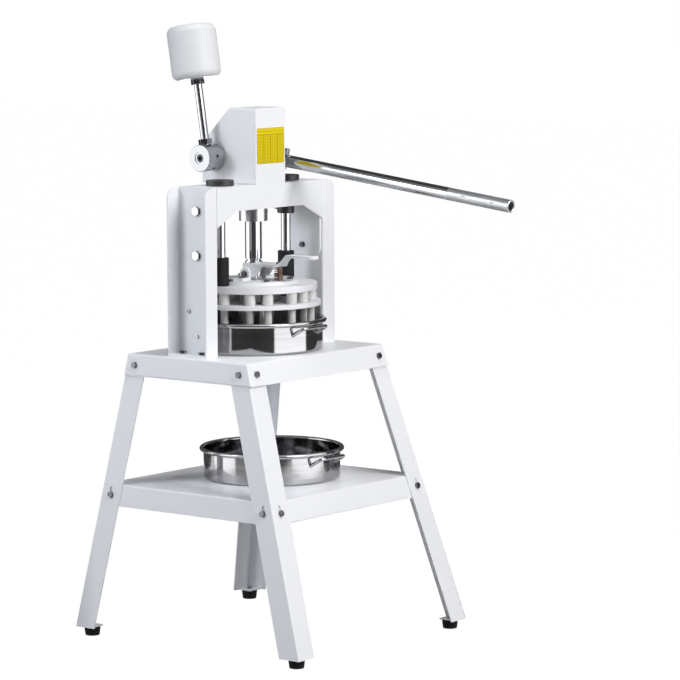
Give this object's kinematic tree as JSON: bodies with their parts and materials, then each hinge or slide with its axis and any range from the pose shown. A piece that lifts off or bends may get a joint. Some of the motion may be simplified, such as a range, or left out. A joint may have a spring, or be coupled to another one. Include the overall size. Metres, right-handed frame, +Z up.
{
  "type": "manual dough divider",
  "caption": "Hand lever dough divider on a splayed steel stand: rack and pinion press, knife head with pads and latch, round pan, counterweight, shelf with a spare pan.",
  "frame": {"origin": "on the floor under the middle of the machine's box, from the lever's end to the back legs", "axes": "+Z up, -Y to the operator and along the lever, +X to the lever's side, the right of the operator"},
  "size_m": [0.6018, 0.9285, 1.3696],
  "materials": {
    "white_paint": "cool white satin powder coat",
    "weight_paint": "white paint on a turned steel weight",
    "zinc": "zinc plated fasteners",
    "chrome_steel": "ground and chromed steel",
    "turned_steel": "bright turned steel",
    "black_oxide": "blackened socket screws",
    "stainless": "polished stainless sheet",
    "black_rubber": "moulded matte rubber",
    "black_nylon": "turned black nylon",
    "white_nylon": "off-white food nylon",
    "bronze": "plain bearing bronze",
    "spring_steel": "copper brown spring wire"
  },
  "bodies": {
    "stand": {"table_top": "white_paint", "leg_front_left": "white_paint", "leg_front_right": "white_paint", "leg_back_left": "white_paint", "leg_back_right": "white_paint", "lower_shelf": "white_paint", "rubber_feet": "black_rubber", "foot_screws": "zinc", "table_bolts": "zinc", "shelf_bolts": "zinc", "stand_nuts": "zinc", "upright_left": "white_paint", "upright_right": "white_paint", "upright_bolts": "zinc", "crossbeam": "white_paint", "beam_bolts": "zinc", "gear_housing": "white_paint", "pan_guides": "white_paint", "guide_screws": "zinc", "ram_bush": "chrome_steel", "rod_bushes": "black_nylon", "shaft_bushes": "bronze", "press_pan": "stainless", "press_pan_handle": "stainless"},
    "drive": {"pinion_shaft": "turned_steel", "pinion_gear": "turned_steel", "shaft_keys": "turned_steel", "counterweight_hub": "turned_steel", "lever_hub": "turned_steel", "hub_screws": "black_oxide", "counterweight_rod": "chrome_steel", "rod_nuts": "zinc", "counterweight": "weight_paint", "lever_spigot": "turned_steel", "lever_tube": "chrome_steel", "lever_bolt": "zinc"},
    "knife_head": {"ram": "chrome_steel", "rack_bar": "turned_steel", "ram_screw": "zinc", "knife_carrier": "white_paint", "carrier_bolts": "zinc", "ring_blade": "stainless", "radial_blades": "stainless", "centre_blade": "stainless"},
    "pusher": {"pusher_plate": "white_paint", "hub_flange": "white_paint", "flange_bolts": "zinc", "guide_rods": "chrome_steel", "stop_sleeves": "black_rubber", "pusher_posts": "white_nylon", "outer_pads": "white_nylon", "inner_pads": "white_nylon", "latch_bracket": "white_paint", "bracket_screws": "zinc", "latch_pins": "black_oxide", "latch_spring": "spring_steel", "spring_bolt": "zinc"},
    "latch": {"latch_lever": "white_paint"},
    "shelf_pan_body": {"shelf_pan": "stainless", "shelf_pan_handle": "stainless"}
  },
  "joints": [
    {"name": "lever_swing", "type": "hinge", "parent": "stand", "child": "drive", "pos_m": [0, 0.25202, 1.07], "axis": [1, 0, 0], "range_deg": [-124, 0]},
    {"name": "head_slide", "type": "slide", "parent": "stand", "child": "knife_head", "axis": [0, 0, 1], "range_m": [-0.0005, 0.072]},
    {"name": "pusher_slide", "type": "slide", "parent": "knife_head", "child": "pusher", "axis": [0, 0, 1], "range_m": [0, 0.012]},
    {"name": "latch_press", "type": "hinge", "parent": "pusher", "child": "latch", "pos_m": [0, 0.18802, 0.81], "axis": [1, 0, 0], "range_deg": [0, 12], "stiffness_Nm_per_rad": 3, "springref_deg": -11.46, "deforming": ["latch_spring"]},
    {"name": "shelf_pan_slide", "type": "slide", "parent": "stand", "child": "shelf_pan_body", "axis": [0, -1, 0], "range_m": [0, 0.4]}
  ],
  "couplings": [
    {"joint": "head_slide", "follows": "lever_swing", "m_per_rad": -0.033}
  ]
}
